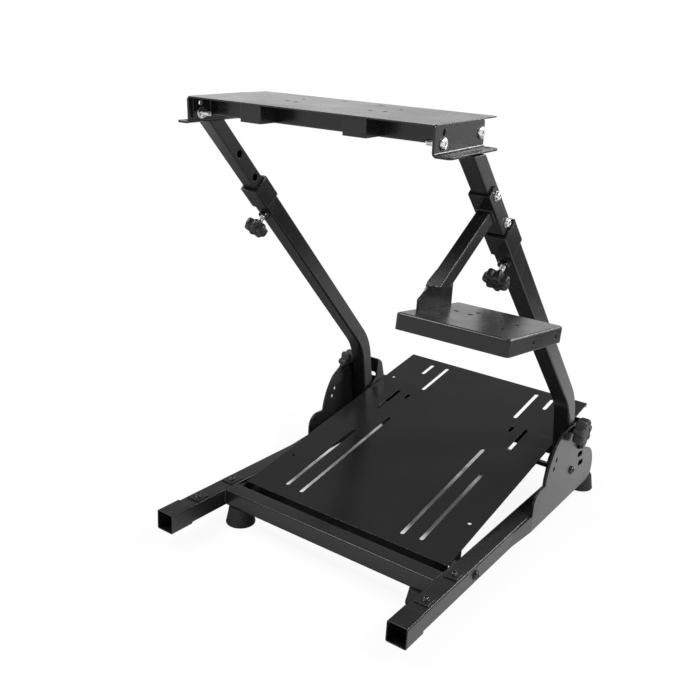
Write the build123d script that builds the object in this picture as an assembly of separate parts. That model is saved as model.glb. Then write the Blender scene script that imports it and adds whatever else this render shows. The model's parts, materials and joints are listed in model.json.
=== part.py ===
from build123d import *
import math
import os

os.makedirs("parts", exist_ok=True)

# Folding racing wheel stand, in millimetres. While it is laid out, X runs to the driver's right
# from the mid-plane, Y to the rear from the front of the rail sleeves, and Z up from the floor.

# Stock and fits
tube_wall = 1.5
tube_corner = 3.0
sheet = 2.0               # pedal plate, deck, tray and stubs
slip = 0.1                # gap between parts that push together
screw_r = 4.0             # M8 screws and bolts
screw_play = 0.1
nut_r = 7.0
nut_height = 6.5

# Base
rail_x = 229.0            # mid-plane to the middle of a rail
rail_bottom = 29.5
rail_length = 674.0
sleeve_wall = 1.4
socket_depth = 28.0       # open part of a sleeve, ahead of its rail
sleeve_grip = 17.0        # part of a sleeve that lies on its rail
crossbar_size = 30.0
crossbar_y = 140.0
pad_offsets = [-64.5, 18.5]   # raised pads under the rail bolts, from the crossbar's middle
pad_length = 28.0
pad_width = 23.0
pad_thick = 2.0
pad_corner = 2.0
foot_base_r = 26.0
foot_top_r = 21.0
front_foot_inset = 24.0   # from the rail's inner face
rear_foot_inset = 12.0    # from the rail's rear end
rear_foot_out = 2.0       # outwards from the rail's middle
tie_depth = 10.0
tie_height = 8.0
tie_clear = 8.0           # tie bar behind the inner plates

# Rear brackets, measured from the pivot
pivot_inset = 132.0       # pivot ahead of the rail's rear end
pivot_rise = 26.5         # pivot above the rail
pivot_bolt_r = 5.0
pivot_head_r = 8.5
pivot_head_height = 5.0
pivot_nut_height = 8.0
bolt_play = 0.06
outer_thick = 4.0
inner_thick = 3.0
outer_gap = 0.7           # upright to the outer plate
inner_gap = 0.3           # upright to the inner plate, where it leans nearest
cheek_gap = 0.2           # inner plate to the rail
plate_rise = 98.5         # top edge of both plates
arc_r = 126.0             # front edge of the outer plate
arc_end = 41.0            # degrees above the level, where that edge turns straight
fan_front = -69.0         # front end of the outer plate's top edge
toe_reach = 168.0         # front lobe of the outer plate
toe_rise = 15.0
toe_r = 24.0
fan_rear = [(4.0, plate_rise), (22.0, 66.0), (32.0, 56.0), (46.0, 46.0), (56.0, 26.0)]
lobe_reach = 121.0        # rear lobe of the outer plate
lobe_rise = 22.0
lobe_r = 58.0
inner_lift = 2.0          # foot of the inner plate above the rail's underside
inner_front = [(-34.0, -20.0), (-26.0, 20.0), (-5.0, 46.0), (12.0, 60.0), (15.0, plate_rise)]
inner_rear = [(20.0, plate_rise), (30.0, 90.0), (41.0, 58.0), (60.0, 50.0), (78.0, 12.0), (78.0, -16.0),
              (62.0, -22.0)]
web_setback = 18.0        # stop web behind the upright
web_foot = 27.0
web_slot_rise = 63.0
web_slot_length = 25.0
web_slot_width = 9.0
wall_head = (44.0, 46.0)   # rear wall between the plates, behind the slots
wall_foot = (64.0, -18.0)
slot_setback = 28.0       # middle of the top slot
slot_rise = 42.0
slot_width = 11.0
slot_length = 26.0
slot_tilt = -8.0
slot_pitch = 21.5
slot_shift = 9.5          # each lower slot sits this much further back
slot_count = 3
lock_reach = 92.0         # hand knob that locks the fold, up the upright from the pivot
lock_circle = 103.0       # holes for the folded positions
lock_angles = [31.0, 21.6]
lock_hole_r = 4.5

# Pedal plate
pedal_gap = 1.3           # beside the inner plates
pedal_setback = 20.6      # behind the crossbar
pedal_drop = 2.3          # front edge below the top of the rails
pedal_length = 562.5
pedal_lip = 18.0
pedal_bolt_setback = 27.4
pedal_bolt_drop = 0.5     # below the rail's middle
pedal_tab = 34.0
pedal_tab_foot = 10.0     # tab below its bolt
pedal_tab_corner = 9.0
pedal_lug_r = 10.0        # lug on the rail that carries the bolt
pedal_slot_width = 8.0
# inset from the side edge, then both ends along the plate: from its front edge, or if negative from its rear
pedal_slots = [(68.0, 30.0, 238.5), (102.5, 26.0, 311.0), (61.5, 327.0, 411.5),
               (88.5, 387.0, 407.5), (65.5, -66.5, -20.5), (101.5, -124.5, -17.5)]
pedal_holes = [(20.5, 107.5), (18.5, -109.0)]
pedal_hole_r = 3.5
rear_rod_r = 7.0
rear_stud_r = 5.3
rear_stud_end = 9.0       # stud beyond the outer plates
rear_nut_r = 8.5
rear_nut_height = 5.5
rear_bar_size = 25.0      # square tube that carries the rod

# Uprights
upright_size = 30.0       # lower, bent tube
upright_wall = 1.0
lower_lean = 12.0         # lower leg, degrees from the vertical
upper_lean = 44.4         # upper leg, degrees from the vertical
lower_leg = 149.0         # pivot to the corner of the bend
upper_leg = 499.0         # corner of the bend to the collar's top
foot_leg = 10.0           # tube below the pivot
bend_r = 110.0
toe_deg = 0.7             # the uprights lean towards each other
collar_wall = 2.45
collar_fit = 0.05
collar_length = 42.0
boss_r = 9.0
boss_height = 7.0
knob_below = 18.0         # knob under the collar
height_travel = 100.0     # how far the telescopic tubes pull out
slide_gap = 0.28          # least gap around a telescopic tube, pulled out
inner_below = 150.0       # telescopic tube hidden below the collar's foot
inner_corner = 2.5
index_first = 57.5        # index holes, up from the collar's foot
index_pitch = 54.0
index_count = 2
index_hole_r = 6.0

# Hand knobs
knob_r = 20.0             # on the uprights
lobe_tip_r = 6.0
knob_core_r = 14.8
knob_height = 16.0
knob_lobes = 7
hub_r = 7.0
hub_length = 5.0
tube_knob_gap = 16.0      # boss to the knob's head
bracket_knob_scale = 1.3
tip_gap = 0.2

# Wheel deck
tube_reach = 183.5        # collar's foot to the flange, along the tube
tube_setback = 62.75      # deck's front edge to the middle of the tubes
bracket_inset = 16.44     # middle of a tube to the outer face of its bracket
deck_depth = 162.0
deck_slope = 3.04
bracket_thick = 3.0
bracket_length = 124.0
bracket_height = 38.0     # deck's top to the flange's underside
bracket_bend = 3.0        # inside radius of the fold
bracket_corner = 6.0
flange_width = 26.0
flange_hole_inset = 11.0
flange_hole_r = 4.0
lug_front = 6.0
lug_length = 116.0
lug_height = 28.0
beam_size = 26.0
beam_setback = 40.0
stub_front = 2.0
stub_width = 36.0
stub_height = 24.0
stub_x = 86.0
deck_bolt_places = [(21.0, -23.5), (115.0, -17.5)]
deck_spare_hole = (21.0, -10.0)
deck_hole_r = 3.5
deck_holes = [(82.0, 75.0), (63.0, 69.0), (83.0, 112.0), (31.0, 140.0)]

# Shifter mount on the right upright
clamp_foot = 9.5          # clamp below the first index hole
clamp_head = 13.5         # clamp above the last index hole
clamp_thick = 3.0
clamp_ear = 15.5          # how far the ears reach back along the tube's sides
clamp_fit = 0.1
arm_size = 20.0
arm_corner = 2.0
arm_drop = 35.0           # degrees below the level
arm_length = 150.9
gusset_thick = 3.0
gusset_outline = [(-13.0, -4.6), (-5.0, -0.6), (2.0, 4.0), (6.0, 9.0), (8.0, 14.2), (26.0, 25.0),
                  (46.0, 31.4), (70.0, 3.4)]
tray_ahead = 50.5         # tray's front edge ahead of the arm's end
tray_drop = 13.6          # tray's front edge below the arm's end
tray_side = 5.5           # tray beyond the gusset
tray_width = 152.0
tray_depth = 155.0
tray_height = 21.0
tray_tilt = 6.3
tray_corner = 5.0
tray_fold = 3.5
tray_hole_r = 3.5
tray_holes = [(42.0, 49.0), (42.0, 89.0), (21.0, 87.0), (21.0, 109.0)]
tray_end_holes = [66.0, 133.0]

# What follows from them: the rails hold the bracket plates apart, and the uprights swing between the plates
toe = math.radians(toe_deg)
upright_room = outer_gap + inner_gap + plate_rise * math.tan(toe)
rail_size = upright_size + upright_room - cheek_gap
sleeve_size = rail_size + 2 * (sleeve_wall + slip)
collar_size = upright_size + 2 * (collar_wall + collar_fit)
inner_size = upright_size - 2 * (upright_wall + slide_gap + height_travel * math.sin(toe))
rail_z = rail_bottom + rail_size / 2
rail_top = rail_bottom + rail_size
rail_in = rail_x - rail_size / 2
rail_out = rail_x + rail_size / 2
rail_rear = socket_depth + rail_length
outer_out = rail_out + outer_thick
inner_out = rail_in - cheek_gap
inner_in = inner_out - inner_thick
upright_x = rail_out - outer_gap - upright_size / 2
pivot_y = rail_rear - pivot_inset
pivot_z = rail_top + pivot_rise
pedal_half = inner_in - pedal_gap
pedal_front = crossbar_y + crossbar_size / 2 + pedal_setback
pedal_front_z = rail_top - pedal_drop
# the pedal plate lies on a cross rod whose ends sit in the top slots, and that sets its slope
slot_y = pivot_y + slot_setback
rod_z = pivot_z + slot_rise
rod_run = slot_y - pedal_front
rod_rise = rod_z - pedal_front_z
rod_lift = math.asin((sheet + rear_rod_r + slip) / math.hypot(rod_run, rod_rise))
pedal_slope = math.degrees(math.atan2(rod_rise, rod_run) + rod_lift)
pedal_grade = math.tan(math.radians(pedal_slope))
slot_places = [(slot_y + slot_shift * i, rod_z - slot_pitch * i) for i in range(slot_count)]
sides = {"left": -1, "right": 1}
nodes = {}


def span(x0, x1, y0, y1, z0, z1):
    """Box between two corners."""
    return Pos((x0 + x1) / 2, (y0 + y1) / 2, (z0 + z1) / 2) * Box(abs(x1 - x0), y1 - y0, z1 - z0)


def rod_x(r, x0, x1, y, z):
    """Round bar along X."""
    return Pos((x0 + x1) / 2, y, z) * Rot(0, 90, 0) * Cylinder(r, abs(x1 - x0))


def square_ring(size, wall, corner=tube_corner):
    """Cross-section of a square tube."""
    bore = size - 2 * wall
    return RectangleRounded(size, size, corner) - RectangleRounded(bore, bore, max(corner - wall, corner / 4))


def plate_x(face, x0, x1):
    """Flat plate from x0 to x1 with a face drawn in Y and Z."""
    return Pos(min(x0, x1), 0, 0) * extrude(Plane.YZ * face, abs(x1 - x0))


def polygon(points):
    return make_face(Polyline(*points, close=True))


def from_pivot(points):
    return [(pivot_y + y, pivot_z + z) for y, z in points]


def sloping(y, z, degrees, x=0):
    """Plane through a point, rising to the rear, with its local y along the slope."""
    a = math.radians(degrees)
    return Plane(origin=(x, y, z), x_dir=(1, 0, 0), z_dir=(0, -math.sin(a), math.cos(a)))


def star_knob(reach, gap, scale=1.0):
    """Hand knob along +Z: its head stands a gap off its seat at 0, and its screw reaches below the seat."""
    height = scale * knob_height
    head = extrude(Circle(scale * knob_core_r), height)
    lobe = Pos(scale * (knob_r - lobe_tip_r), 0, 0) * extrude(Circle(scale * lobe_tip_r), height)
    for i in range(knob_lobes):
        head += Rot(0, 0, 360 / knob_lobes * i) * lobe
    head += Pos(0, 0, -hub_length) * extrude(Circle(hub_r), hub_length)
    return Pos(0, 0, gap) * head + Pos(0, 0, -reach) * extrude(Circle(screw_r), reach + gap)


def edge_near(part, axis, *point):
    """Edge of a part along an axis, nearest to a point."""
    return part.edges().filter_by(axis).sort_by_distance(point)[0]


# Base frame
half_bar = crossbar_size / 2
for side, s in sides.items():
    tube_front = Plane(origin=(s * rail_x, 0, rail_z), x_dir=(1, 0, 0), z_dir=(0, 1, 0))
    nodes[f"{side}_rail"] = Pos(0, socket_depth, 0) * extrude(
        tube_front * square_ring(rail_size, tube_wall), rail_length)
    nodes[f"{side}_sleeve"] = extrude(
        tube_front * square_ring(sleeve_size, sleeve_wall), socket_depth + sleeve_grip)

    pad = extrude(RectangleRounded(pad_width, pad_length, pad_corner), pad_thick)
    nodes[f"{side}_bolt_pads"] = Compound([
        Pos(s * rail_x, crossbar_y + offset, rail_top) * pad for offset in pad_offsets])

    front_height = rail_top - crossbar_size
    nodes[f"{side}_front_foot"] = Pos(s * (rail_in - front_foot_inset), crossbar_y, front_height / 2) * Cone(
        foot_base_r, foot_top_r, front_height)
    nodes[f"{side}_rear_foot"] = Pos(
        s * (rail_x + rear_foot_out), rail_rear - rear_foot_inset, rail_bottom / 2) * Cone(
        foot_base_r, foot_top_r, rail_bottom)

bar_end = Plane(origin=(-rail_in, crossbar_y, rail_top - half_bar), x_dir=(0, 1, 0), z_dir=(1, 0, 0))
nodes["front_crossbar"] = extrude(bar_end * square_ring(crossbar_size, tube_wall), 2 * rail_in)
tie_front = pivot_y + inner_rear[-1][0] + tie_clear
nodes["rear_tie_bar"] = span(-rail_in, rail_in, tie_front, tie_front + tie_depth,
                             rail_z - tie_height / 2, rail_z + tie_height / 2)

# Uprights, laid out on the plane X = 0; lean() then moves them out and leans them inwards
lower_dir = Vector(0, -math.sin(math.radians(lower_lean)), math.cos(math.radians(lower_lean)))
upper_dir = Vector(0, -math.sin(math.radians(upper_lean)), math.cos(math.radians(upper_lean)))
pivot = Vector(0, pivot_y, pivot_z)
corner = pivot + lower_dir * lower_leg
collar_foot = corner + upper_dir * (upper_leg - collar_length)
# local z runs up the tube from the collar's foot, local -y points to the front
tube_plane = Plane(origin=collar_foot, x_dir=(1, 0, 0), z_dir=upper_dir)
front_dir = tube_plane.y_dir * -1
toe_axis = Axis(pivot, front_dir)


def lean(part, s):
    """Carry a part from the plane X = 0 to the left or right upright."""
    return Pos(s * upright_x, 0, 0) * part.rotate(toe_axis, s * toe_deg)


# Rear brackets: an outer plate on the rail's outer face; inside it a plate with a stop web and a rear wall
lobe_mid = (lobe_reach - lobe_r, lobe_rise - lobe_r)
heel_r = lobe_mid[1] + pivot_z - rail_bottom
arc_low = (-math.sqrt(arc_r ** 2 - toe_rise ** 2), toe_rise)
arc_high = (-arc_r * math.cos(math.radians(arc_end)), arc_r * math.sin(math.radians(arc_end)))
toe_low = (-toe_reach, toe_rise - toe_r)
lobe_low = (lobe_reach, lobe_mid[1])
rail_foot = rail_bottom - pivot_z


def outline(*edges):
    """Face inside edges that start from points measured from the pivot."""
    return Pos(pivot_y, pivot_z) * make_face(list(edges))


outer_face = outline(
    Polyline((lobe_reach - heel_r, rail_foot), (-toe_reach, rail_foot), toe_low),
    RadiusArc(toe_low, (toe_r - toe_reach, toe_rise), toe_r),
    Line((toe_r - toe_reach, toe_rise), arc_low),
    RadiusArc(arc_low, arc_high, arc_r),
    Polyline(arc_high, (fan_front, plate_rise), *fan_rear, (lobe_mid[0], lobe_rise)),
    RadiusArc((lobe_mid[0], lobe_rise), lobe_low, lobe_r),
    RadiusArc(lobe_low, (lobe_reach - heel_r, rail_foot), heel_r))
inner_foot = rail_foot + inner_lift
inner_face = polygon(from_pivot([(inner_front[0][0], inner_foot), *inner_front, *inner_rear,
                                 (inner_rear[-1][0], inner_foot)]))
wall_face = polygon(from_pivot([wall_head, (wall_head[0] + inner_thick, wall_head[1]),
                                (wall_foot[0] + inner_thick, wall_foot[1]), wall_foot]))
lock_y = pivot_y + lower_dir.Y * lock_reach
lock_z = pivot_z + lower_dir.Z * lock_reach
web_mid_x = (inner_out + rail_out) / 2
for side, s in sides.items():
    outer = plate_x(outer_face, s * rail_out, s * outer_out)
    inner = plate_x(inner_face, s * inner_in, s * inner_out)
    web = span(s * inner_out, s * (rail_out - cheek_gap), pivot_y + web_setback,
               pivot_y + web_setback + inner_thick, pivot_z + web_foot, pivot_z + plate_rise)
    wall = plate_x(wall_face, s * inner_out, s * (rail_out - cheek_gap))
    web_slot = extrude(Plane.XZ * SlotOverall(web_slot_length, web_slot_width), inner_thick, both=True)
    web -= Pos(s * web_mid_x, pivot_y + web_setback, pivot_z + web_slot_rise) * web_slot

    through = (s * (inner_in - inner_thick), s * (outer_out + outer_thick))
    pivot_hole = rod_x(pivot_bolt_r + bolt_play, *through, pivot_y, pivot_z)
    outer -= pivot_hole
    inner -= pivot_hole
    outer -= rod_x(screw_r + screw_play, *through, lock_y, lock_z)
    for angle in lock_angles:
        hole_y = pivot_y - lock_circle * math.cos(math.radians(angle))
        hole_z = pivot_z + lock_circle * math.sin(math.radians(angle))
        outer -= rod_x(lock_hole_r, *through, hole_y, hole_z)
    for y, z in slot_places:
        slot = plate_x(Pos(y, z) * Rot(0, 0, slot_tilt) * SlotOverall(slot_length, slot_width), *through)
        outer -= slot
        inner -= slot
    nodes[f"{side}_outer_plate"] = outer
    nodes[f"{side}_inner_plate"] = inner + web + wall

    bolt = rod_x(pivot_bolt_r, s * (inner_in - pivot_nut_height), s * outer_out, pivot_y, pivot_z)
    bolt += rod_x(pivot_head_r, s * outer_out, s * (outer_out + pivot_head_height), pivot_y, pivot_z)
    bolt += rod_x(pivot_head_r, s * (inner_in - pivot_nut_height), s * inner_in, pivot_y, pivot_z)
    nodes[f"{side}_pivot_bolt"] = bolt
    seat = Pos(s * outer_out, lock_y, lock_z) * Rot(0, s * 90, 0)
    nodes[f"{side}_bracket_knob"] = seat * star_knob(outer_thick, hub_length, bracket_knob_scale)

# Pedal plate: a sloping sheet with a turned-down front edge and two side tabs
pedal = Pos(0, pedal_length / 2, -sheet / 2) * Box(2 * pedal_half, pedal_length, sheet)
pedal += Pos(0, sheet / 2, -pedal_lip / 2) * Box(2 * pedal_half, sheet, pedal_lip)


def along_pedal(v):
    return v if v > 0 else pedal_length + v


for s in sides.values():
    for inset, start, end in pedal_slots:
        v0, v1 = along_pedal(start), along_pedal(end)
        slot = extrude(SlotOverall(v1 - v0, pedal_slot_width), sheet, both=True)
        pedal -= Pos(s * (pedal_half - inset), (v0 + v1) / 2, 0) * Rot(0, 0, 90) * slot
    for inset, v in pedal_holes:
        pedal -= Pos(s * (pedal_half - inset), along_pedal(v), 0) * Cylinder(pedal_hole_r, 4 * sheet)
pedal = sloping(pedal_front, pedal_front_z, pedal_slope) * pedal

bolt_y = pedal_front + pedal_bolt_setback
bolt_z = rail_z - pedal_bolt_drop
tab_half = pedal_tab / 2
tab_in = pedal_half - sheet
# the tab runs up to the middle of the sheet, so that the two are one folded piece
tab_top = pedal_front_z + pedal_bolt_setback * pedal_grade - sheet / 2
tab_foot = bolt_z - pedal_tab_foot
tab_face = polygon([
    (bolt_y - tab_half, tab_top - tab_half * pedal_grade),
    (bolt_y + tab_half, tab_top + tab_half * pedal_grade),
    (bolt_y + tab_half, tab_foot + pedal_tab_corner), (bolt_y + tab_half - pedal_tab_corner, tab_foot),
    (bolt_y - tab_half + pedal_tab_corner, tab_foot), (bolt_y - tab_half, tab_foot + pedal_tab_corner)])
for side, s in sides.items():
    bolt_hole = rod_x(screw_r + screw_play, s * (tab_in - sheet), s * (rail_out + sheet), bolt_y, bolt_z)
    pedal += plate_x(tab_face, s * tab_in, s * pedal_half) - bolt_hole
    lug = span(s * (pedal_half + slip), s * rail_in, crossbar_y + half_bar, bolt_y,
               bolt_z - pedal_lug_r, bolt_z + pedal_lug_r)
    lug += rod_x(pedal_lug_r, s * (pedal_half + slip), s * rail_in, bolt_y, bolt_z)
    nodes[f"{side}_rail"] += lug
    nodes[f"{side}_rail"] -= bolt_hole
    bolt = rod_x(screw_r, s * (tab_in - nut_height), s * rail_out, bolt_y, bolt_z)
    bolt += rod_x(nut_r, s * rail_out, s * (rail_out + screw_r), bolt_y, bolt_z)
    bolt += rod_x(nut_r, s * (tab_in - nut_height), s * tab_in, bolt_y, bolt_z)
    nodes[f"{side}_pedal_bolt"] = bolt
nodes["pedal_plate"] = pedal

rod_end = inner_in - slip
stud_end = outer_out + rear_stud_end
rear_rod = rod_x(rear_rod_r, -rod_end, rod_end, slot_y, rod_z)
rear_rod += rod_x(rear_stud_r, -stud_end, stud_end, slot_y, rod_z)
for s in sides.values():
    rear_rod += rod_x(rear_nut_r, s * outer_out, s * (outer_out + rear_nut_height), slot_y, rod_z)
nodes["pedal_rear_rod"] = rear_rod
rear_bar_z = rod_z - rear_rod_r - slip - rear_bar_size / 2
rear_bar_end = Plane(origin=(-rod_end, slot_y, rear_bar_z), x_dir=(0, 1, 0), z_dir=(1, 0, 0))
nodes["pedal_rear_bar"] = extrude(rear_bar_end * square_ring(rear_bar_size, tube_wall), 2 * rod_end)

# Lower tubes, collars, telescopic tubes and their knobs
bend_length = bend_r * math.tan(math.radians((upper_lean - lower_lean) / 2))
start = pivot - lower_dir * foot_leg
bend_in = corner - lower_dir * bend_length
bend_out = corner + upper_dir * bend_length
end = corner + upper_dir * upper_leg
tube_path = Line(start, bend_in) + TangentArc(bend_in, bend_out, tangent=lower_dir) + Line(bend_out, end)
tube_start = Plane(origin=start, x_dir=(1, 0, 0), z_dir=lower_dir)
lower_tube = sweep(tube_start * square_ring(upright_size, upright_wall), path=tube_path)
forward = tube_plane * Pos(0, 0, -knob_below) * Rot(90, 0, 0)
boss_face = upright_size / 2 + boss_height
lower_tube += forward * Pos(0, 0, upright_size / 2) * extrude(Circle(boss_r), boss_height)
lower_tube -= forward * extrude(Circle(screw_r + screw_play), 2 * boss_face)
collar = extrude(tube_plane * square_ring(collar_size, collar_wall), collar_length)
knob_reach = boss_face - inner_size / 2 - tip_gap
tube_knob = forward * Pos(0, 0, boss_face) * star_knob(knob_reach, tube_knob_gap)

flange_point = collar_foot + upper_dir * tube_reach
deck_angle = math.radians(deck_slope)
deck_plane = sloping(
    flange_point.Y - tube_setback * math.cos(deck_angle) - bracket_height * math.sin(deck_angle),
    flange_point.Z - tube_setback * math.sin(deck_angle) + bracket_height * math.cos(deck_angle), deck_slope)
flange_plane = deck_plane.offset(-bracket_height)
inner_length = inner_below + tube_reach + inner_size
inner_section = square_ring(inner_size, tube_wall, inner_corner)
inner_tube = extrude(tube_plane * Pos(0, 0, -inner_below) * inner_section, inner_length)
index_places = [index_first + index_pitch * i for i in range(index_count)]
for t in index_places:
    inner_tube -= tube_plane * Pos(0, 0, t) * Rot(0, 90, 0) * Cylinder(index_hole_r, 2 * inner_size)

for side, s in sides.items():
    pivot_hole = rod_x(pivot_bolt_r + bolt_play, s * inner_in, s * outer_out, pivot_y, pivot_z)
    nodes[f"{side}_upright"] = lean(lower_tube, s) - pivot_hole
    nodes[f"{side}_collar"] = lean(collar, s)
    nodes[f"{side}_inner_tube"] = split(lean(inner_tube, s), bisect_by=flange_plane, keep=Keep.BOTTOM)
    nodes[f"{side}_tube_knob"] = lean(tube_knob, s)

# Wheel deck, sloping down a little to the front: x outwards, v back from the front edge, w up from the top
tube_top_x = upright_x - (flange_point - pivot).dot(upper_dir) * math.sin(toe)
deck_half = tube_top_x - bracket_inset
bracket_in = deck_half - bracket_thick
lug_in = bracket_in - bracket_thick
flange_out = bracket_in + flange_width
flange_mid = (deck_half + flange_out) / 2
flange_top = bracket_thick - bracket_height
for side, s in sides.items():
    bracket = span(s * bracket_in, s * deck_half, 0, bracket_length, -bracket_height, 0)
    bracket += span(s * bracket_in, s * flange_out, 0, bracket_length, -bracket_height, flange_top)
    inside = edge_near(bracket, Axis.Y, s * deck_half, bracket_length / 2, flange_top)
    bracket = fillet(inside, bracket_bend)
    outside = edge_near(bracket, Axis.Y, s * bracket_in, bracket_length / 2, -bracket_height)
    bracket = fillet(outside, bracket_bend + bracket_thick)
    for v in (0, bracket_length):
        bracket = fillet(edge_near(bracket, Axis.X, s * deck_half, v, 0), bracket_corner)
        bracket = fillet(edge_near(bracket, Axis.Z, s * flange_out, v, flange_top), bracket_corner)
    lug = span(s * lug_in, s * bracket_in, lug_front, lug_front + lug_length, -sheet - lug_height, -sheet)
    for v, w in (*deck_bolt_places, deck_spare_hole):
        bolt_hole = rod_x(screw_r, s * (lug_in - bracket_thick), s * (deck_half + bracket_thick), v, w)
        bracket -= bolt_hole
        lug -= bolt_hole
    for v in (flange_hole_inset, bracket_length - flange_hole_inset):
        bracket -= Pos(s * flange_mid, v, -bracket_height) * Cylinder(flange_hole_r, 4 * bracket_thick)
    nodes[f"{side}_end_bracket"] = deck_plane * bracket
    nodes[f"{side}_deck_lug"] = deck_plane * lug

    # the stubs are folded boxes, open against the beam
    stub_in, stub_out = stub_x - stub_width / 2, stub_x + stub_width / 2
    stub = span(s * stub_in, s * stub_out, stub_front, beam_setback, -sheet - stub_height, -sheet)
    stub -= span(s * (stub_in + sheet), s * (stub_out - sheet), stub_front + sheet, beam_setback,
                 -stub_height, -2 * sheet)
    nodes[f"{side}_deck_stub"] = deck_plane * stub

deck = Pos(0, deck_depth / 2, -sheet / 2) * Box(2 * (bracket_in - slip), deck_depth, sheet)
for x, v in deck_holes:
    for s in sides.values():
        deck -= Pos(s * x, v, 0) * Cylinder(deck_hole_r, 4 * sheet)
nodes["deck_plate"] = deck_plane * deck
beam_end = Plane(origin=(-lug_in, beam_setback + beam_size / 2, -sheet - beam_size / 2),
                 x_dir=(0, 1, 0), z_dir=(1, 0, 0))
nodes["deck_beam"] = deck_plane * extrude(beam_end * square_ring(beam_size, tube_wall), 2 * lug_in)

# Shifter mount: a channel bolted over the right telescopic tube, an arm, a gusset and a folded tray
clamp_low = index_places[0] - clamp_foot
clamp_length = index_places[-1] + clamp_head - clamp_low
bore_half = inner_size / 2 + clamp_fit
clamp_front = bore_half + clamp_thick
ear = Pos(bore_half + clamp_thick / 2, -bore_half + clamp_ear / 2) * Rectangle(clamp_thick, clamp_ear)
channel = Pos(0, -bore_half - clamp_thick / 2) * Rectangle(2 * clamp_front, clamp_thick)
channel += ear + mirror(ear, Plane.YZ)
clamp = extrude(tube_plane * Pos(0, 0, clamp_low) * channel, clamp_length)

arm_dir = Vector(0, -math.cos(math.radians(arm_drop)), -math.sin(math.radians(arm_drop)))
arm_root = collar_foot + upper_dir * (clamp_low + clamp_length / 2) + front_dir * clamp_front
arm_tip = arm_root + arm_dir * arm_length
arm_plane = Plane(origin=arm_root - arm_dir * arm_size, x_dir=(1, 0, 0), z_dir=arm_dir)
arm = extrude(arm_plane * square_ring(arm_size, tube_wall, arm_corner), arm_length + 2 * arm_size)
arm = split(arm, bisect_by=Plane(origin=arm_root, z_dir=front_dir), keep=Keep.TOP)
arm_end_z = arm_tip.Z + arm_size / 2 / math.cos(math.radians(arm_drop))
arm = split(arm, bisect_by=sloping(arm_tip.Y, arm_end_z, -tray_tilt), keep=Keep.TOP)

gusset_x = -arm_size / 2
tray_x = gusset_x - gusset_thick - tray_side
tray_plane = sloping(arm_tip.Y - tray_ahead, arm_tip.Z - tray_drop, -tray_tilt, tray_x)
gusset_foot = -tray_drop - tray_height
gusset_points = [(gusset_outline[0][0], gusset_foot), *gusset_outline, (gusset_outline[-1][0], gusset_foot)]
gusset_face = polygon([(arm_tip.Y + y, arm_tip.Z + z) for y, z in gusset_points])
gusset = plate_x(gusset_face, gusset_x - gusset_thick, gusset_x)
gusset = split(gusset, bisect_by=tray_plane, keep=Keep.TOP)

tray_mid = Pos(tray_width / 2, tray_depth / 2, 0)


def folded_box(inset):
    """Box with folded top edges, inset from the tray's outside."""
    floor = RectangleRounded(tray_width - 2 * inset, tray_depth - 2 * inset, tray_corner - inset)
    block = extrude(floor, -tray_height)
    return Pos(0, 0, -inset) * fillet(block.faces().sort_by(Axis.Z)[-1].edges(), tray_fold - inset)


tray = tray_mid * (folded_box(0) - folded_box(sheet))
for x, v in tray_holes:
    for s in sides.values():
        tray -= Pos(tray_width / 2 + s * x, v, 0) * Cylinder(tray_hole_r, 4 * sheet)
for v in tray_end_holes:
    tray -= Pos(tray_width, v, -tray_height / 2) * Rot(0, 90, 0) * Cylinder(tray_hole_r, 4 * sheet)

mount = {"shifter_clamp": clamp, "shifter_arm": arm, "shifter_gusset": gusset,
         "shifter_tray": tray_plane * tray}
for name, shape in mount.items():
    nodes[name] = lean(shape, sides["right"])

# The stand's origin is on the floor, under the middle of its outline
box = Compound(children=[Compound(s.solids()) for s in nodes.values()]).bounding_box()
home = Pos(-(box.min.X + box.max.X) / 2, -(box.min.Y + box.max.Y) / 2, 0)
for name, shape in nodes.items():
    export_step(home * Compound(shape.solids()), f"parts/{name}.step")
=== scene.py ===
import json
import math

import bmesh
import bpy
from mathutils import Matrix, Vector


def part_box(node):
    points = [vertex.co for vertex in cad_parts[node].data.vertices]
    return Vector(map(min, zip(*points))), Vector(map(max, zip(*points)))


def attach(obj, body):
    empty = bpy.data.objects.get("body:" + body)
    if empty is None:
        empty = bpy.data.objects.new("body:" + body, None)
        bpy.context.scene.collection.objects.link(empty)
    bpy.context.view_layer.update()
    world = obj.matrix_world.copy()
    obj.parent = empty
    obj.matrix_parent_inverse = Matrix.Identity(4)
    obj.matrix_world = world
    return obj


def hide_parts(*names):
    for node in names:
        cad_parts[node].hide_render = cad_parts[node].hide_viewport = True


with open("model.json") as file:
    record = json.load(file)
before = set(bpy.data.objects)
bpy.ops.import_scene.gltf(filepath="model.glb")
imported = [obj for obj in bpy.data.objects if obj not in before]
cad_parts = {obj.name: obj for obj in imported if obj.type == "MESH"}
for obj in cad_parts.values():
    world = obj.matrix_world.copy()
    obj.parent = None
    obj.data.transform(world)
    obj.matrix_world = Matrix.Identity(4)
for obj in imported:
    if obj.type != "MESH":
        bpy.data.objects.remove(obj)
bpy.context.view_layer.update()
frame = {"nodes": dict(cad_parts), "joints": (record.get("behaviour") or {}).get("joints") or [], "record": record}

MM = 0.001
# The stand is laid out in millimetres: X to the driver's right from the mid-plane, Y to the rear from the
# front of the sleeves, Z up from the floor. The crossbar's middle gives that layout's place in the frame.
CROSSBAR_Y = 140.0
bar_low, bar_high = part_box("front_crossbar")
HOME = Vector(((bar_low.x + bar_high.x) / 2, (bar_low.y + bar_high.y) / 2 - CROSSBAR_Y * MM, 0))
SIDES = {"left": -1, "right": 1}


def at(x, y, z):
    """Point of the layout in the frame, in metres."""
    return HOME + Vector((x, y, z)) * MM


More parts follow.
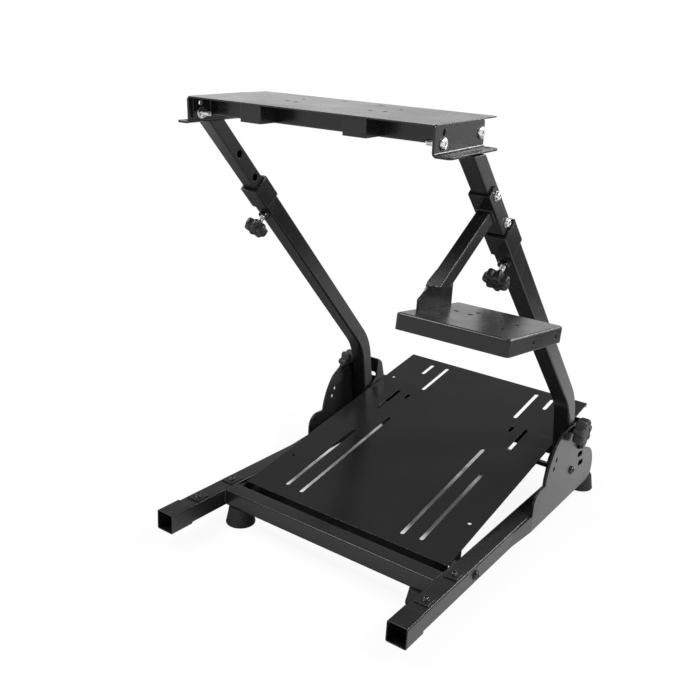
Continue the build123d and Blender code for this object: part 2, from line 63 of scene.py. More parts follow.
def aim(point, axis, spin=0.0):
    """Placement in millimetres at a point of the frame, with local z along an axis."""
    turn = Vector(axis).to_track_quat("Z", "Y").to_matrix().to_4x4()
    return Matrix.Translation(point) @ turn @ Matrix.Rotation(spin, 4, "Z") @ Matrix.Scale(MM, 4)


def put(name, data):
    """New object in the scene."""
    thing = bpy.data.objects.new(name, data)
    bpy.context.scene.collection.objects.link(thing)
    return thing


# Materials

class Nodes:
    """Short way to add and join the nodes of one material or world."""

    def __init__(self, owner):
        owner.use_nodes = True
        self.tree = owner.node_tree
        self.tree.nodes.clear()

    def add(self, kind, inputs=None, **values):
        node = self.tree.nodes.new("ShaderNode" + kind)
        for key, value in values.items():
            setattr(node, key, value)
        for key, value in (inputs or {}).items():
            if isinstance(value, bpy.types.NodeSocket):
                self.tree.links.new(value, node.inputs[key])
            else:
                node.inputs[key].default_value = value
        return node

    def math(self, operation, *values):
        return self.add("Math", dict(enumerate(values)), operation=operation).outputs[0]

    def mix(self, share, first, second):
        return self.add("MixRGB", {"Fac": share, "Color1": first, "Color2": second}).outputs[0]

    def noise(self, place, scale, detail, roughness):
        inputs = {"Vector": place, "Scale": scale, "Detail": detail, "Roughness": roughness}
        return self.add("TexNoise", inputs).outputs["Fac"]

    def ramp(self, value, low, high, first, last):
        """Number that goes from first to last while a value goes from low to high."""
        span = {"Value": value, "From Min": low, "From Max": high, "To Min": first, "To Max": last}
        return self.add("MapRange", span).outputs[0]


def grey(v):
    """Grey with a slight blue cast."""
    return (v, v, v * 1.02, 1.0)


NOISE_SPAN = (0.3, 0.7)         # most of what a noise gives lies between these
SPECK_SPAN = (0.45, 0.75)       # the grain's highest spots
EDGE_SPAN = (0.995, 0.80)       # from a flat face to a rounded edge, as the cosine of the turn
CLOUD_TINT, SPECK_TINT, EDGE_TINT = 0.55, 0.35, 0.5
WEAR = 3.0                      # how much lighter than the light tone a rubbed edge is
GLOSS_CHANGE = 0.04
GRAIN_DEPTH = 0.0002
SPECULAR = 0.38


def coat(name, dark, light, rough, grain, grain_size, edge, metallic=0.0, patch=9.0):
    """Surface with a fine grain, a slow change of tone and gloss, and rounded edges that are rubbed lighter."""
    material = bpy.data.materials.new(name)
    n = Nodes(material)
    place = n.add("TexCoord").outputs["Object"]
    cloud = n.noise(place, patch, detail=4.0, roughness=0.55)
    speck = n.noise(place, 1.0 / grain_size, detail=3.0, roughness=0.6)
    rounded = n.add("Bevel", {"Radius": edge}, samples=6).outputs["Normal"]
    flat = n.add("NewGeometry").outputs["Normal"]
    level = n.add("VectorMath", {0: rounded, 1: flat}, operation="DOT_PRODUCT").outputs["Value"]
    tone = n.mix(n.ramp(cloud, *NOISE_SPAN, 0.0, CLOUD_TINT), grey(dark), grey(light))
    tone = n.mix(n.ramp(speck, *SPECK_SPAN, 0.0, SPECK_TINT), tone, grey(light))
    tone = n.mix(n.ramp(level, *EDGE_SPAN, 0.0, EDGE_TINT), tone, grey(min(1.0, light * WEAR)))
    gloss = n.math("ADD", n.ramp(cloud, *NOISE_SPAN, rough - GLOSS_CHANGE, rough + GLOSS_CHANGE),
                   n.ramp(speck, *NOISE_SPAN, -GLOSS_CHANGE, GLOSS_CHANGE))
    bump = n.add("Bump", {"Strength": grain, "Distance": GRAIN_DEPTH, "Height": speck, "Normal": rounded})
    shader = n.add("BsdfPrincipled", {"Base Color": tone, "Roughness": gloss, "Metallic": metallic,
                                      "Specular IOR Level": SPECULAR, "Normal": bump.outputs[0]})
    n.add("OutputMaterial", {"Surface": shader.outputs[0]})
    return material


# In each row: dark and light tone, roughness, strength and size of the grain, radius of the edges (metres)
frame_black = coat("frame_black_coat", 0.007, 0.014, 0.25, 0.24, 0.0011, 0.0014)
seam_black = coat("seam_black_coat", 0.007, 0.014, 0.25, 0.24, 0.0011, 0.0)
sheet_black = coat("sheet_black_coat", 0.010, 0.016, 0.20, 0.18, 0.0009, 0.0010)
tray_black = coat("tray_black_coat", 0.008, 0.014, 0.28, 0.20, 0.0009, 0.0014, patch=16.0)
bolt_steel = coat("zinc_steel", 0.66, 0.84, 0.27, 0.15, 0.0006, 0.0003, metallic=1.0, patch=60.0)
black_steel = coat("black_zinc_steel", 0.05, 0.10, 0.26, 0.15, 0.0006, 0.0003, metallic=1.0, patch=60.0)
knob_plastic = coat("knob_plastic", 0.007, 0.014, 0.33, 0.20, 0.0007, 0.0003, patch=40.0)
# Bracket knobs: the knobs' black plastic painted lighter, as if lit from the right: painted light
painted_lit_knob_plastic = coat("bracket_knob_painted_lit_plastic", 0.022, 0.042, 0.50, 0.22, 0.0007, 0.0003, patch=40.0)
foot_rubber = coat("foot_rubber", 0.008, 0.018, 0.66, 0.45, 0.0008, 0.0004, patch=30.0)
plug_plastic = coat("plug_plastic", 0.008, 0.016, 0.46, 0.25, 0.0008, 0.0003, patch=40.0)

CAD_MATERIALS = {"frame_black": frame_black, "sheet_black": sheet_black, "bolt_steel": bolt_steel,
                 "knob_plastic": knob_plastic, "foot_rubber": foot_rubber}
for part in frame["record"]["subparts"]:
    look = tray_black if part["node"] == "shifter_tray" else CAD_MATERIALS[part["material_slot"]]
    mesh = frame["nodes"][part["node"]].data
    mesh.materials.clear()
    mesh.materials.append(look)

# Shapes

AROUND = 72             # points in a ring of a bolt head or nut
SHANK_AROUND = 32       # the same for a screw
SHARP = 32              # degrees between faces that meet in a sharp edge
WELD_SHARP = 60
BEAD_AROUND = 8
BEAD_STEP = 1.1         # a weld bead's length between two rings


def hexagon(across):
    """Radius of a hexagon with that width across its flats."""
    return lambda a: across / 2 / math.cos((a + math.pi / 6) % (math.pi / 3) - math.pi / 6)


def rounded_square(half, corner):
    """Radius of a square with rounded corners."""
    def radius(a):
        c, s = abs(math.cos(a)), abs(math.sin(a))
        c, s = max(c, s), min(c, s)
        middle = half - corner
        if s * half <= c * middle:
            return half / c
        reach = middle * (c + s)
        return reach + math.sqrt(reach * reach - 2 * middle * middle + corner * corner)
    return radius


def capped(shape, limit):
    """Radius of a shape, but never over a limit."""
    return lambda a: min(shape(a), limit)


def grown(shape, by):
    """Radius of a shape that is larger all round."""
    return lambda a: shape(a) + by


class Piece:
    """One object made of closed solids: turned or lobed ones, weld beads, or rows of points."""

    def __init__(self, name):
        self.name = name
        self.bm = bmesh.new()
        self.materials = []

    def through(self, rows, material):
        """Closed solid through rows of points in the frame, all with the same number of points."""
        if material not in self.materials:
            self.materials.append(material)
        rows = [[self.bm.verts.new(point) for point in row] for row in rows]
        faces = [self.bm.faces.new(rows[0][::-1]), self.bm.faces.new(rows[-1])]
        for low, high in zip(rows, rows[1:]):
            for i in range(len(low)):
                j = (i + 1) % len(low)
                faces.append(self.bm.faces.new((low[i], low[j], high[j], high[i])))
        for face in faces:
            face.material_index = self.materials.index(material)

    def rings(self, placement, profile, material, around=AROUND):
        """Closed solid through rings (height, radius), where a radius is a number or depends on the angle."""
        angles = [2 * math.pi * i / around for i in range(around)]
        rows = []
        for z, radius in profile:
            radii = [radius(a) if callable(radius) else radius for a in angles]
            rows.append([placement @ Vector((r * math.cos(a), r * math.sin(a), z)) for r, a in zip(radii, angles)])
        self.through(rows, material)

    def bead(self, points, radius):
        """Rippled weld bead along a line of points in the frame, with tapered ends."""
        angles = [2 * math.pi * i / BEAD_AROUND for i in range(BEAD_AROUND)]
        places = []
        for a, b in zip(points, points[1:]):
            count = max(2, round((b - a).length / (BEAD_STEP * MM)))
            places += [a.lerp(b, i / count) for i in range(count)]
        places.append(points[-1])
        last = len(places) - 1
        rows = []
        for k, place in enumerate(places):
            run = (places[min(k + 1, last)] - places[max(k - 1, 0)]).normalized()
            side = run.cross(Vector((0.31, 0.52, 0.79))).normalized()      # no bead runs along this vector
            up = run.cross(side)
            taper = min(1.0, 0.35 + 0.33 * min(k, last - k))
            r = radius * MM * taper * (1 + 0.16 * math.sin(2.1 * k) + 0.07 * math.sin(0.83 * k + 1.0))
            rows.append([place + (side * math.cos(a) + up * math.sin(a)) * r for a in angles])
        self.through(rows, frame_black)

    def done(self, body, slot, replaces=(), sharp=SHARP):
        """Make the object, which rides on a body and may replace nodes."""
        bmesh.ops.recalc_face_normals(self.bm, faces=self.bm.faces)
        mesh = bpy.data.meshes.new(self.name)
        self.bm.to_mesh(mesh)
        self.bm.free()
        for material in self.materials:
            mesh.materials.append(material)
        mesh.polygons.foreach_set("use_smooth", [True] * len(mesh.polygons))
        mesh.set_sharp_from_angle(angle=math.radians(sharp))
        piece = put(self.name, mesh)
        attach(piece, body)
        if replaces:
            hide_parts(*replaces)


def button_head(r, h, socket, washer_r=0.0, washer_h=0.0):
    """Domed head with a hexagonal socket, on a washer if it has one, as rings from its seat up."""
    rings = []
    if washer_r:
        rings += [(0, washer_r - 0.4), (0.2, washer_r), (washer_h - 0.2, washer_r), (washer_h, washer_r - 0.3)]
    side = [(0, r - 0.3), (0.3, r), (0.3 * h, r - 0.1), (0.62 * h, 0.9 * r), (0.86 * h, 0.74 * r)]
    top = [(h, socket / 2 + 1.3), (h, grown(hexagon(socket), 0.35)), (h - 0.4, hexagon(socket)),
           (0.35 * h, hexagon(socket)), (0.3 * h, 0.05)]
    return rings + [(washer_h + z, radius) for z, radius in side + top]


def lock_nut(across, h, bore):
    """Chamfered hexagon nut with a rounded collar and the end of its screw, as rings from its seat up."""
    point = across / 2 / math.cos(math.pi / 6)
    flat = hexagon(across)
    return [(0, across / 2 - 0.2), (0.5, capped(flat, point - 0.5)), (1.0, capped(flat, point - 0.1)),
            (0.62 * h, capped(flat, point - 0.1)), (0.72 * h, capped(flat, across / 2 + 0.2)),
            (0.74 * h, 0.44 * across), (0.92 * h, 0.43 * across), (h, 0.38 * across), (h, bore + 0.35),
            (h - 0.5, bore + 0.1), (h - 0.4, bore - 0.2), (h + 1.0, bore - 0.3), (h + 1.3, bore - 0.8)]


def shank(r, length):
    """Plain screw below its head, as rings."""
    return [(-length, r), (0.1, r)]


def thread(r, z0, z1, pitch=1.25):
    """Screw thread as rings."""
    rings, z = [(z0, r - 0.6)], z0
    while z + pitch < z1:
        rings += [(z + 0.30 * pitch, r), (z + 0.45 * pitch, r), (z + 0.85 * pitch, r - 0.55)]
        z += pitch
    return rings + [(z1, r - 0.3)]


def rod_rings(half, tip_r, end_r, r, chamfer):
    """Round bar with chamfered ends, as rings along its length."""
    return [(-half, tip_r), (-half, end_r), (chamfer - half, r), (half - chamfer, r), (half, end_r), (half, tip_r)]


# Hand knobs: a lobed plastic head on a bright screw

LOBES = 7
VALLEY_R = 15.0         # knob's radius between its lobes
LOBE = 5.0              # how far a lobe stands out
FULLNESS = 0.72         # below 1 the lobes are wide and the valleys narrow
SCREW_R = 4.0
SCREW_TOP = 4.2         # the screw ends this far below the lobes, inside the hub
KNOB_SPIN = 0.2
KNOB_SHARP = 38
# Height and radius, but for the lobed side the height and how far it is inside the full outline
KNOB_HUB = [(-4.9, 4.1), (-4.9, 5.6), (-4.4, 6.4), (-1.8, 6.9), (-0.6, 8.2), (0.0, 10.5)]
KNOB_SIDE = [(0.2, 3.6), (0.8, 1.9), (2.0, 0.7), (3.6, 0.1), (5.5, 0.0), (10.5, 0.0), (12.8, 0.4), (14.4, 1.3),
             (15.4, 2.8), (16.0, 5.0)]
KNOB_CAP = [(16.0, 9.2), (15.7, 8.7), (14.9, 8.4), (14.9, 7.6), (15.5, 7.1), (15.8, 5.0), (15.9, 0.05)]


def lobed(scale, inset):
    """Radius of the knob's outline."""
    return lambda a: scale * (VALLEY_R + LOBE * (0.5 + 0.5 * math.cos(LOBES * a)) ** FULLNESS) - inset


def hand_knob(joint, tail, gap, scale, plastic):
    """Knob whose head stands a gap off its seat, with its screw's tail below the seat."""
    placement = aim(Vector(joint["pos_m"]), joint["axis"], KNOB_SPIN)
    name = joint["child"]
    rings = KNOB_HUB + [(scale * z, lobed(scale, inset)) for z, inset in KNOB_SIDE]
    rings += [(scale * z, scale * r) for z, r in KNOB_CAP]
    knob = Piece(name + "_head")
    knob.rings(placement, [(gap + z, r) for z, r in rings], plastic, around=LOBES * 20)
    knob.done(name, "knob_plastic", [name], sharp=KNOB_SHARP)
    screw = Piece(name + "_screw")
    screw.rings(placement, thread(SCREW_R, -tail, gap - SCREW_TOP), bolt_steel, around=SHANK_AROUND)
    screw.done(name, "bolt_steel")


for joint in frame["joints"]:
    if joint["child"].endswith("tube_knob"):
        hand_knob(joint, tail=9.3, gap=16.0, scale=1.0, plastic=knob_plastic)
    elif joint["child"].endswith("bracket_knob"):
        hand_knob(joint, tail=4.0, gap=5.0, scale=1.3, plastic=painted_lit_knob_plastic)

# Rubber feet: a ribbed cone with a recess and a screw underneath

FOOT_AROUND = 96
FOOT_TAPER = 5.0        # difference between the lower and upper radius
RIBS = 5
RIB_FOOT = 4.5          # plain height below and above the ribs
FOOT_RECESS = [(3.4, 4.5), (3.4, 15.5), (2.6, 16.6), (0.5, 17.6), (0.0, 18.6)]
FOOT_SCREW_Z = 3.5


def foot_rings(h, base_r):
    """Foot from the middle of its recess, round its rim and up to its top."""
    top_r = base_r - FOOT_TAPER
    rim = [(0.0, base_r - 1.4), (0.3, base_r - 0.5), (1.2, base_r), (3.2, base_r - 0.1)]
    wall = []
    for i in range(RIBS):
        z = RIB_FOOT + (h - 2 * RIB_FOOT) * i / RIBS
        r = base_r - 0.2 + (top_r - base_r) * (z - 2) / (h - 2)
        wall += [(z, r), (z + 0.5, r - 0.55), (z + 1.3, r - 0.7), (z + 1.8, r - 0.3)]
    top = [(h - 2.4, top_r + 0.2), (h - 0.9, top_r - 0.1), (h - 0.2, top_r - 0.7), (h, top_r - 1.6)]
    return FOOT_RECESS + rim + wall + top


for side in SIDES:
    for end in ("front", "rear"):
        name = f"{side}_{end}_foot"
        low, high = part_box(name)
        place = Matrix.Translation(((low.x + high.x) / 2, (low.y + high.y) / 2, low.z)) @ Matrix.Scale(MM, 4)
        upside_down = Matrix.Translation((0, 0, FOOT_SCREW_Z)) @ Matrix.Rotation(math.pi, 4, "X")
        foot = Piece(name + "_rubber")
        foot.rings(place, foot_rings((high.z - low.z) / MM, (high.x - low.x) / 2 / MM), foot_rubber,
                   around=FOOT_AROUND)
        foot.rings(place @ upside_down, button_head(r=6.5, h=2.4, socket=4.0), bolt_steel)
        foot.done("base", "foot_rubber", [name])

# Base: bolts in the rails' pads, plugs in the rails' rear ends, pedal and pivot bolts, and the rod

RAIL_X = 229.0
RAIL_Z = 45.5
RAIL_HALF = 16.0
RAIL_IN = RAIL_X - RAIL_HALF
RAIL_OUT = RAIL_X + RAIL_HALF
RAIL_TOP = RAIL_Z + RAIL_HALF
RAIL_REAR = 702.0
PAD_TOP = 63.5
PAD_OFFSETS = (-64.5, 18.5)         # pads from the crossbar's middle
PLUG_AROUND = 96
# Height, how far inside the rail's outside, and corner of the plug's rings
PLUG = [(-14.0, 2.6, 1.2), (0.0, 1.7, 1.5), (0.0, 0.2, 3.0), (1.6, 0.2, 3.0), (2.4, 0.7, 2.8), (2.8, 1.8, 2.4),
        (2.8, 4.2, 2.0), (2.2, 4.8, 2.0), (2.2, 14.0, 0.8)]
OUTER_OUT = 249.0                   # outer bracket plate's outside
INNER_IN = 209.8                    # inner bracket plate's inside
PIVOT = (570.0, 88.0)
PIVOT_R = 5.0
PEDAL_BOLT = (203.0, 45.0)
TAB_IN = 206.5                      # inside of the pedal plate's side tab
ROD_R = 7.0
STUD_R = 5.3

for side, s in SIDES.items():
    pads = Piece(side + "_pad_bolts")
    for offset in PAD_OFFSETS:
        seat = aim(at(s * RAIL_X, CROSSBAR_Y + offset, PAD_TOP), (0, 0, 1), spin=0.4)
        pads.rings(seat, button_head(r=5.4, h=3.0, socket=4.0, washer_r=6.4, washer_h=0.9), black_steel)
    pads.done("base", "bolt_steel")

    plug = Piece(side + "_rail_plug")
    seat = aim(at(s * RAIL_X, RAIL_REAR, RAIL_Z), (0, 1, 0))
    plug.rings(seat, [(z, rounded_square(RAIL_HALF - inset, corner)) for z, inset, corner in PLUG], plug_plastic,
               around=PLUG_AROUND)
    plug.done("base", "knob_plastic")

    pedal_bolt = Piece(side + "_pedal_bolt_set")
    outer = aim(at(s * RAIL_OUT, *PEDAL_BOLT), (s, 0, 0), spin=0.3)
    inner = aim(at(s * TAB_IN, *PEDAL_BOLT), (-s, 0, 0), spin=0.5)
    pedal_bolt.rings(outer, button_head(r=7.4, h=4.0, socket=4.5, washer_r=9.0, washer_h=1.2), black_steel)
    pedal_bolt.rings(outer, shank(SCREW_R, length=39.0), bolt_steel, around=SHANK_AROUND)
    pedal_bolt.rings(inner, lock_nut(across=13.0, h=6.4, bore=SCREW_R), bolt_steel)
    pedal_bolt.done("base", "bolt_steel", [side + "_pedal_bolt"])

    pivot_bolt = Piece(side + "_pivot_bolt_set")
    outer = aim(at(s * OUTER_OUT, *PIVOT), (s, 0, 0), spin=0.3)
    inner = aim(at(s * INNER_IN, *PIVOT), (-s, 0, 0), spin=0.1)
    pivot_bolt.rings(outer, button_head(r=8.0, h=4.0, socket=5.5, washer_r=8.6, washer_h=1.0), black_steel)
    pivot_bolt.rings(outer, shank(PIVOT_R, length=39.3), bolt_steel, around=40)
    pivot_bolt.rings(inner, lock_nut(across=15.6, h=7.8, bore=PIVOT_R), bolt_steel)
    pivot_bolt.done("base", "bolt_steel", [side + "_pivot_bolt"])

rod_low, rod_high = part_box("pedal_rear_rod")
rod_y = ((rod_low.y + rod_high.y) / 2 - HOME.y) / MM
rod_z = (rod_low.z + rod_high.z) / 2 / MM
stud_end = (rod_high.x - rod_low.x) / 2 / MM
rod_end = INNER_IN - 0.1
rod = Piece("pedal_rear_rod_set")
rod.rings(aim(at(0, rod_y, rod_z), (1, 0, 0)), rod_rings(rod_end, tip_r=5.6, end_r=6.5, r=ROD_R, chamfer=0.5),
          frame_black, around=48)
for s in SIDES.values():
    stud = aim(at(s * rod_end, rod_y, rod_z), (s, 0, 0))
    rod.rings(stud, thread(STUD_R, 0.0, stud_end - rod_end, pitch=1.5), black_steel, around=SHANK_AROUND)
    outer = aim(at(s * OUTER_OUT, rod_y, rod_z), (s, 0, 0), spin=0.2)
    rod.rings(outer, lock_nut(across=14.6, h=5.4, bore=STUD_R), black_steel)
rod.done("base", "bolt_steel", ["pedal_rear_rod"])

# Wheel deck: its bolts go through the end brackets and the lugs, with nuts inside

DECK_FRONT = (26.21, 725.986)       # top of the deck's front edge
DECK_SLOPE = math.radians(3.04)
DECK_HALF = 203.5
LUG_IN = 197.5
DECK_BOLTS = ((21.0, -23.5), (115.0, -17.5))
DECK_BOLT_R = 3.9
DECK_TAIL = (3.8, 6.0, 17.0)        # radius and ends of the screw beyond the nut
DECK_WASHER = [(0, 7.9), (0.2, 8.2), (1.1, 8.2), (1.3, 7.9)]


def on_deck(x, v, w):
    """Point x from the mid-plane, v back from the deck's front edge and w above its top."""
    c, s = math.cos(DECK_SLOPE), math.sin(DECK_SLOPE)
    return at(x, DECK_FRONT[0] + v * c - w * s, DECK_FRONT[1] + v * s + w * c)


for side, s in SIDES.items():
    bolts = Piece(side + "_deck_bolts")
    for i, (v, w) in enumerate(DECK_BOLTS):
        outer = aim(on_deck(s * DECK_HALF, v, w), (s, 0, 0), spin=0.2 + 0.5 * i)
        inner = aim(on_deck(s * LUG_IN, v, w), (-s, 0, 0), spin=0.4 + 0.3 * i)
        nut_seat = inner @ Matrix.Translation((0, 0, DECK_WASHER[-1][0]))
        bolts.rings(outer, button_head(r=8.2, h=3.4, socket=4.2), bolt_steel)
        bolts.rings(outer, shank(DECK_BOLT_R, length=6.5), bolt_steel, around=SHANK_AROUND)
        bolts.rings(inner, DECK_WASHER, bolt_steel)
        bolts.rings(nut_seat, lock_nut(across=12.6, h=6.2, bore=DECK_BOLT_R), bolt_steel)
        bolts.rings(inner, thread(*DECK_TAIL), bolt_steel, around=SHANK_AROUND)
    bolts.done("wheel_frame", "bolt_steel")

# Shifter clamp: two bolts through the right telescopic tube

LEAN = math.radians(44.4)           # telescopic tubes from upright
BEND = math.radians(12.0)           # the same for the uprights' lower legs
TOE = math.radians(0.7)             # turn of each upright about its forward direction
LOWER_LEG = 149.0
COLLAR_FOOT = 457.0
UPRIGHT_X = 229.3
UPRIGHT_HALF = 15.0
INDEX_PLACES = (57.5, 111.5)
CLAMP_OUT = 15.6
CLAMP_BOLT_R = 2.95
CLAMP_BOLT_AHEAD = 1.4
tube_up = Vector((0, -math.sin(LEAN), math.cos(LEAN)))
tube_ahead = Vector((0, -math.cos(LEAN), -math.sin(LEAN)))
fold_point = Vector((0, *PIVOT))
bend_point = fold_point + Vector((0, -math.sin(BEND), math.cos(BEND))) * LOWER_LEG


def leaned(s, point):
    """Point laid out on the plane X = 0, carried to the left or right upright."""
    p = Matrix.Rotation(s * TOE, 3, tube_ahead) @ (point - fold_point) + fold_point
    return at(p.x + s * UPRIGHT_X, p.y, p.z)


def on_tube(s, x, forward, up):
    """Point near a telescopic tube: x outwards and forward from its axis, and up from the collar's foot."""
    return leaned(s, bend_point + tube_up * (COLLAR_FOOT + up) + tube_ahead * forward + Vector((s * x, 0, 0)))


bolts = Piece("shifter_clamp_bolts")
for up in INDEX_PLACES:
    outer = aim(on_tube(1, CLAMP_OUT, CLAMP_BOLT_AHEAD, up), (1, 0, 0), spin=0.35)
    inner = aim(on_tube(1, -CLAMP_OUT, CLAMP_BOLT_AHEAD, up), (-1, 0, 0), spin=0.1)
    bolts.rings(outer, button_head(r=5.6, h=4.0, socket=4.0, washer_r=6.6, washer_h=1.2), bolt_steel)
    bolts.rings(outer, shank(CLAMP_BOLT_R, length=2 * CLAMP_OUT), bolt_steel, around=SHANK_AROUND)
    bolts.rings(inner, lock_nut(across=10.0, h=5.6, bore=3.0), bolt_steel)
bolts.done("wheel_frame", "bolt_steel")

# Weld beads under the coat: the crossbar and the outer bracket plates on the rails

BAR_HALF = 15.0
BAR_FRONT = CROSSBAR_Y - BAR_HALF
PLATE_WELDS = (434.0, 516.0, 612.0)
PLATE_WELD = 30.0
# A slim taper on each rail's side leads up to the outer bracket plate
PLATE_FRONT = 402.0
LEAD = 80.0

base_welds = Piece("base_welds")
for s in SIDES.values():
    x = s * RAIL_IN
    base_welds.bead([at(x, BAR_FRONT, RAIL_TOP - 28), at(x, BAR_FRONT, RAIL_TOP - 2.5)], radius=1.9)
    base_welds.bead([at(x, BAR_FRONT + 3, RAIL_TOP - 0.6), at(x, BAR_FRONT + 27, RAIL_TOP - 0.6)], radius=1.2)
    x = s * RAIL_OUT
    for y in PLATE_WELDS:
        base_welds.bead([at(x, y, RAIL_TOP), at(x, y + PLATE_WELD, RAIL_TOP)], radius=1.8)
    taper = [(x - s * 0.2, PLATE_FRONT - LEAD, RAIL_HALF - 3.5),
             (s * (OUTER_OUT - 0.1), PLATE_FRONT, RAIL_HALF - 0.1),
             (x - s * 0.2, PLATE_FRONT, RAIL_HALF - 0.1)]
    base_welds.through([[at(a, b, RAIL_Z + up * h) for a, b, h in taper] for up in (-1, 1)], seam_black)
base_welds.done("base", "frame_black", sharp=WELD_SHARP)

# The pedal plate's rear edge is rolled under

HEM_R = 3.2
HEM_IN, HEM_DOWN = 3.4, 4.8         # the hem's middle from the plate's rear and top
plate_low, plate_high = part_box("pedal_plate")
hem_half = (plate_high.x - plate_low.x) / 2 / MM - 0.4
hem_middle = Vector((HOME.x, plate_high.y - HEM_IN * MM, plate_high.z - HEM_DOWN * MM))
hem = Piece("pedal_hem")
hem.rings(aim(hem_middle, (1, 0, 0)), rod_rings(hem_half, tip_r=1.2, end_r=2.2, r=HEM_R, chamfer=0.6), sheet_black,
          around=32)
hem.done("base", "sheet_black", sharp=50)

# Weld beads round the boss of each tube knob

BOSS_R = 9.0
BOSS_DOWN = 18.0                    # the boss's middle below the collar's foot
BOSS_STEPS = 24

tube_welds = Piece("tube_welds")
turns = [2 * math.pi * i / BOSS_STEPS for i in range(BOSS_STEPS + 1)]
for s in SIDES.values():
    ring = [(BOSS_R * math.cos(a), BOSS_R * math.sin(a) - BOSS_DOWN) for a in turns]
    tube_welds.bead([on_tube(s, x, UPRIGHT_HALF, up) for x, up in ring], radius=1.2)
tube_welds.done("uprights", "frame_black", sharp=WELD_SHARP)

# Weld beads of the deck beam on the lugs, at its front and rear

BEAM_SIDES = (40.0, 66.0)
BEAM_WELD = (-4.0, -27.0)           # from the beam's top to its underside

deck_welds = Piece("deck_welds")
for s in SIDES.values():
    for v in BEAM_SIDES:
        deck_welds.bead([on_deck(s * LUG_IN, v, w) for w in BEAM_WELD], radius=1.7)
deck_welds.done("wheel_frame", "frame_black", sharp=WELD_SHARP)

# Weld beads of the shifter arm on its clamp and at its lower end, and of the gusset on the tray

ARM_HALF = 10.0
ARM_LOW, ARM_HIGH = 76.4, 96.6      # the arm's root on the clamp, up from the collar's foot
ARM_ROOT = ((-ARM_HALF, ARM_LOW), (ARM_HALF, ARM_LOW), (ARM_HALF, ARM_HIGH), (-ARM_HALF, ARM_HIGH),
            (-ARM_HALF, ARM_LOW))
ARM_END = ((-9.6, 23.6, 536.9), (4.0, 23.6, 536.9))
GUSSET_X = -13.0
GUSSET_WELDS = ((18.0, 42.0), (60.0, 88.0))
TRAY_FRONT = (-26.5, 511.0)         # top of the tray's front edge
TRAY_SLOPE = math.tan(math.radians(6.3))

arm_welds = Piece("shifter_welds")
arm_welds.bead([on_tube(1, x, CLAMP_OUT, up) for x, up in ARM_ROOT], radius=2.0)
for ends in GUSSET_WELDS:
    foot = [(GUSSET_X, y, TRAY_FRONT[1] - (y - TRAY_FRONT[0]) * TRAY_SLOPE + 0.3) for y in ends]
    arm_welds.bead([leaned(1, Vector(point)) for point in foot], radius=1.6)
arm_welds.bead([leaned(1, Vector(point)) for point in ARM_END], radius=1.5)
arm_welds.done("wheel_frame", "frame_black", sharp=WELD_SHARP)

# Camera, at the photograph's view

CAMERA_PLACE = (713.33, -852.72, 793.16)
CAMERA_RIGHT = Vector((0.8263852, 0.5586127, 0.0709882))
CAMERA_DOWN = Vector((0.2362841, -0.2295621, -0.9441775))
CAMERA_LOOK = Vector((-0.5111334, 0.7970276, -0.321698))
FRAME_PX = 700.0
FOCAL_PX = 847.09
CENTRE_PX = (379.78, 348.33)

camera_data = bpy.data.cameras.new("camera")
camera_data.sensor_width = 36.0
camera_data.lens = FOCAL_PX / FRAME_PX * camera_data.sensor_width
camera_data.shift_x = 0.5 - CENTRE_PX[0] / FRAME_PX
camera_data.shift_y = CENTRE_PX[1] / FRAME_PX - 0.5
camera_data.clip_end = 50.0
camera = put("camera", camera_data)
camera_turn = Matrix((CAMERA_RIGHT, -CAMERA_DOWN, -CAMERA_LOOK)).transposed()
camera.matrix_world = Matrix.Translation(at(*CAMERA_PLACE)) @ camera_turn.to_4x4()
bpy.context.scene.camera = camera

# Pale floor with painted shade under and beside the stand, and soft studio light, in metres of the frame

WHITE = (1, 1, 1, 1)
PAINT = 0.92
MIRRORED_SHADE_PAINT = 0.2                    # painted shade: the floor's colour under and beside the stand, as reflections see it
FLOOR_REACH = 12.0
FLOOR_DROP = 0.0002
MIRROR_EDGE = 0.06                  # width of the painted shade's fade beside the stand, in reflections


def square(name, corners):
    """Flat object with four corners."""
    mesh = bpy.data.meshes.new(name)
    mesh.from_pydata(corners, [], [(0, 1, 2, 3)])
    return put(name, mesh)


def away_from(n, spot, low, high):
    """Distance on the floor from a rectangle."""
    gaps = []
    for axis, a, b in zip("XY", low, high):
        gap = n.math("ABSOLUTE", n.math("SUBTRACT", spot[axis], (a + b) / 2))
        gap = n.math("MAXIMUM", n.math("SUBTRACT", gap, (b - a) / 2), 0.0)
        gaps.append(n.math("MULTIPLY", gap, gap))
    return n.math("SQRT", n.math("ADD", *gaps))


def white_share(n, rays, far, width, under, near, reach):
    """Share of plain white for some rays: little under the stand, which paints shade there, more beside it and
    most at a distance.
    """
    beside = n.ramp(far, 0.0, width, under, near)
    beyond = n.ramp(far, width, reach, 0.0, 1.0 - near)
    return n.math("MULTIPLY", n.math("ADD", beside, beyond), rays)


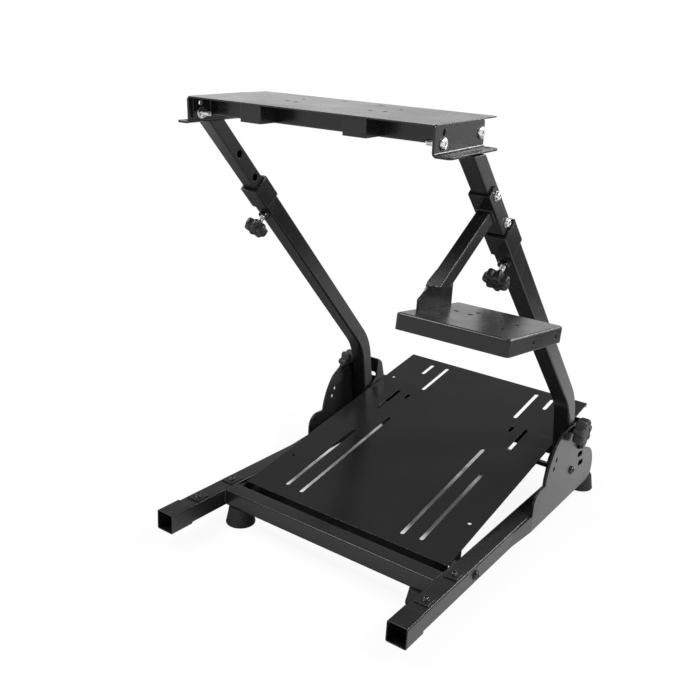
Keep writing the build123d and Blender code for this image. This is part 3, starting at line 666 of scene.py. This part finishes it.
def floor_white():
    """Matte paint that takes the stand's shadow, mixed with plain white by the kind of ray; the white is cut away
    under and beside the stand, which paints shade there on top of the real shadow.
    """
    material = bpy.data.materials.new("floor_white")
    n = Nodes(material)
    path = n.add("LightPath").outputs
    spot = n.add("SeparateXYZ", {0: n.add("NewGeometry").outputs["Position"]}).outputs
    low, high = plate_low, plate_high
    # Painted shade: camera rays get little white in this rectangle round the pedal plate, shifted to where the
    # stand's shade falls, so the floor there is darker than elsewhere under the same light
    seen = away_from(n, spot, (low.x - 0.054, low.y + 0.16), (high.x - 0.125, high.y))
    # Painted shade in reflections: in this larger rectangle round the stand, glossy rays get little white and see
    # the floor painted darker
    mirrored = away_from(n, spot, (low.x - 0.65, low.y - 0.065), (high.x, high.y + 0.1))
    direct = n.math("MAXIMUM", path["Is Camera Ray"], path["Is Transmission Ray"])
    glossy = path["Is Glossy Ray"]
    share = n.math("MAXIMUM", white_share(n, direct, seen, width=0.055, under=0.04, near=0.90, reach=1.0),
                   white_share(n, glossy, mirrored, width=MIRROR_EDGE, under=0.01, near=0.66, reach=1.4))
    # Reflections see the floor painted darker under and beside the stand: painted shade in reflections
    paint = n.mix(glossy, (PAINT, PAINT, PAINT, 1), n.ramp(mirrored, 0.0, MIRROR_EDGE, MIRRORED_SHADE_PAINT, PAINT))
    matte = n.add("BsdfDiffuse", {"Color": paint})
    glow = n.add("Emission", {"Color": WHITE, "Strength": 1.0})
    mixed = n.add("MixShader", {0: share, 1: matte.outputs[0], 2: glow.outputs[0]})
    n.add("OutputMaterial", {"Surface": mixed.outputs[0]})
    return material


floor = square("floor", [(-FLOOR_REACH, -FLOOR_REACH, 0), (FLOOR_REACH, -FLOOR_REACH, 0),
                         (FLOOR_REACH, FLOOR_REACH, 0), (-FLOOR_REACH, FLOOR_REACH, 0)])
floor.location.z = -FLOOR_DROP
floor.data.materials.append(floor_white())

# The sky is white near the horizon and darker overhead
SKY_SPAN = (0.14, 0.48)
SKY_STRENGTHS = (1.0, 0.28)
world = bpy.data.worlds.new("studio")
bpy.context.scene.world = world
n = Nodes(world)
height = n.add("SeparateXYZ", {0: n.add("TexCoord").outputs["Generated"]}).outputs["Z"]
sky = n.add("Background", {"Color": WHITE, "Strength": n.ramp(height, *SKY_SPAN, *SKY_STRENGTHS)})
n.add("OutputWorld", {"Surface": sky.outputs[0]})

LAMP_TARGET = Vector((0.0, 0.0, 0.35))


def softbox(name, place, size, power):
    """Area lamp that the camera doesn't see."""
    lamp_data = bpy.data.lights.new(name, "AREA")
    lamp_data.shape = "RECTANGLE"
    lamp_data.size, lamp_data.size_y = size
    lamp_data.energy = power
    lamp = put(name, lamp_data)
    lamp.location = place
    lamp.rotation_euler = (LAMP_TARGET - Vector(place)).to_track_quat("-Z", "Y").to_euler()
    lamp.visible_camera = False


softbox("right", place=(2.0, 0.1, 2.35), size=(0.6, 0.6), power=42.0)
softbox("rear", place=(1.2, 2.3, 1.8), size=(1.2, 0.5), power=38.0)
softbox("top", place=(-1.15, -0.9, 2.45), size=(1.0, 1.0), power=42.0)

# A dark card beside the set keeps the upper sides from mirroring the white floor; only reflections see it
CARD_X = 0.75
CARD_FRONT, CARD_REAR = 0.3, 2.2
CARD_TOP = 0.42
card_black = bpy.data.materials.new("card_black")
n = Nodes(card_black)
n.add("OutputMaterial", {"Surface": n.add("BsdfDiffuse", {"Color": (0.03, 0.03, 0.03, 1)}).outputs[0]})
card = square("dark_card", [(CARD_X, CARD_FRONT, 0.0), (CARD_X, CARD_REAR, 0.0), (CARD_X, CARD_REAR, CARD_TOP),
                            (CARD_X, CARD_FRONT, CARD_TOP)])
card.data.materials.append(card_black)
card.visible_camera = card.visible_diffuse = card.visible_shadow = False

bpy.context.scene.view_settings.view_transform = "Standard"
